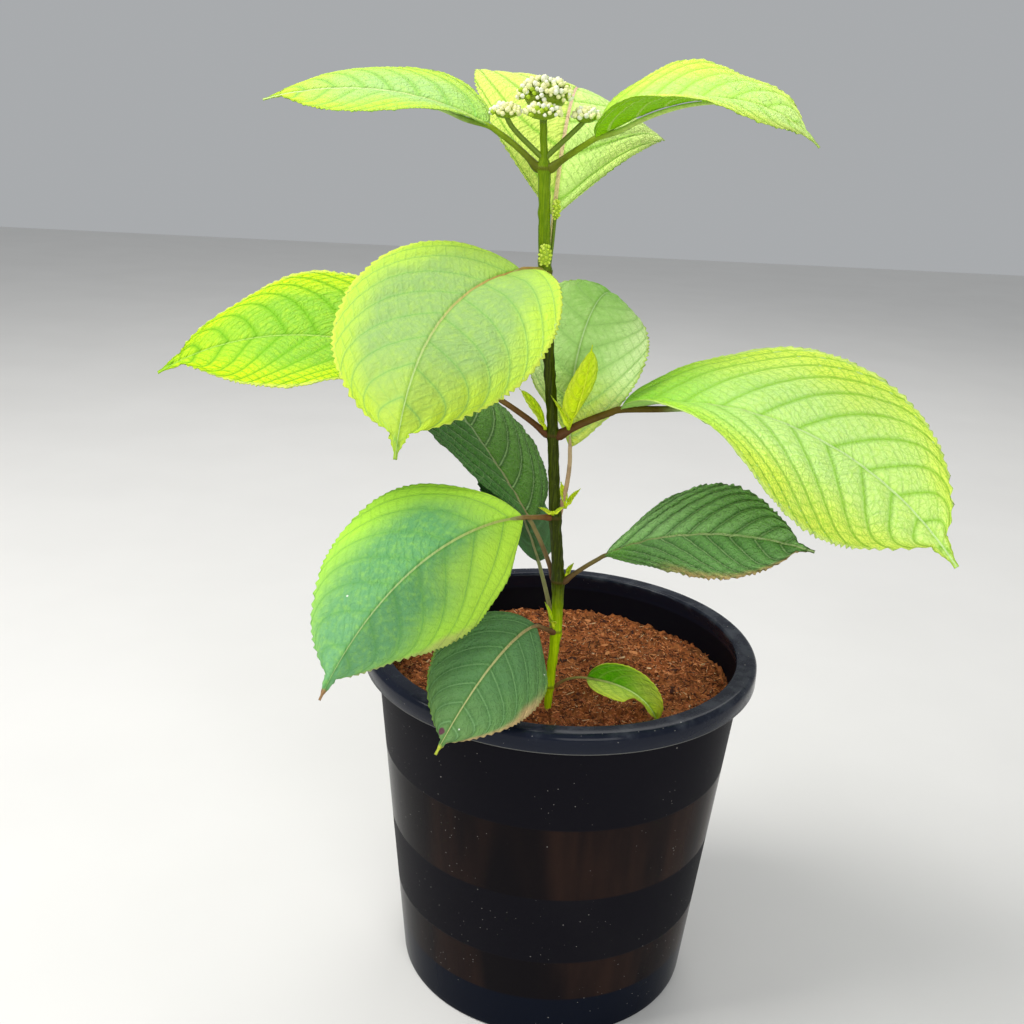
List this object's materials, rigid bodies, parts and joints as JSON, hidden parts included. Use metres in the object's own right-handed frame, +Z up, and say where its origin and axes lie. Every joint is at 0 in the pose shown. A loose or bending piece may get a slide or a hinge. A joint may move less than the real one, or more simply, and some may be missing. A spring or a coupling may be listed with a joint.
{
  "type": "young hydrangea shrub in bud in a nursery pot",
  "caption": "Young potted hydrangea: one upright stem with large opposite leaves, small shoots and a flower head in bud, in a round black plastic pot of soil.",
  "frame": {"origin": "middle of the pot's flat underside", "axes": "+Z up the stem, -Y to the front as pictured, +X to the right"},
  "size_m": [0.4504, 0.323, 0.5792],
  "materials": {
    "pot": "satin",
    "soil": "matte",
    "stem": "satin",
    "leafTopLeft": "satin",
    "leafTopRight": "satin",
    "leafUpperBack": "satin",
    "leafUpperFront": "satin",
    "leafMidLeft": "satin",
    "leafMidRight": "satin",
    "leafLowFront": "satin",
    "leafLowBack": "satin",
    "leafBaseRight": "satin",
    "leafBaseLeft": "satin",
    "leafFootFront": "satin",
    "leafFootBack": "satin",
    "leafSoilRight": "satin",
    "shoot": "satin",
    "flowerHead": "matte"
  },
  "bodies": {
    "root": {"pot": "pot", "soil": "soil", "stem": "stem", "leafTopLeft": "leafTopLeft", "leafTopRight": "leafTopRight", "leafUpperBack": "leafUpperBack", "leafUpperFront": "leafUpperFront", "leafMidLeft": "leafMidLeft", "leafMidRight": "leafMidRight", "leafLowFront": "leafLowFront", "leafLowBack": "leafLowBack", "leafBaseRight": "leafBaseRight", "leafBaseLeft": "leafBaseLeft", "leafFootFront": "leafFootFront", "leafFootBack": "leafFootBack", "leafSoilRight": "leafSoilRight", "shootMidRight": "shoot", "shootMidLeft": "shoot", "shootLowRight": "shoot", "shootLowFront": "shoot", "shootBaseRight": "shoot", "shootFoot": "shoot", "headMiddle": "flowerHead", "headLeft": "flowerHead", "headRight": "flowerHead", "budUpper": "shoot", "budFront": "shoot"}
  },
  "joints": []
}
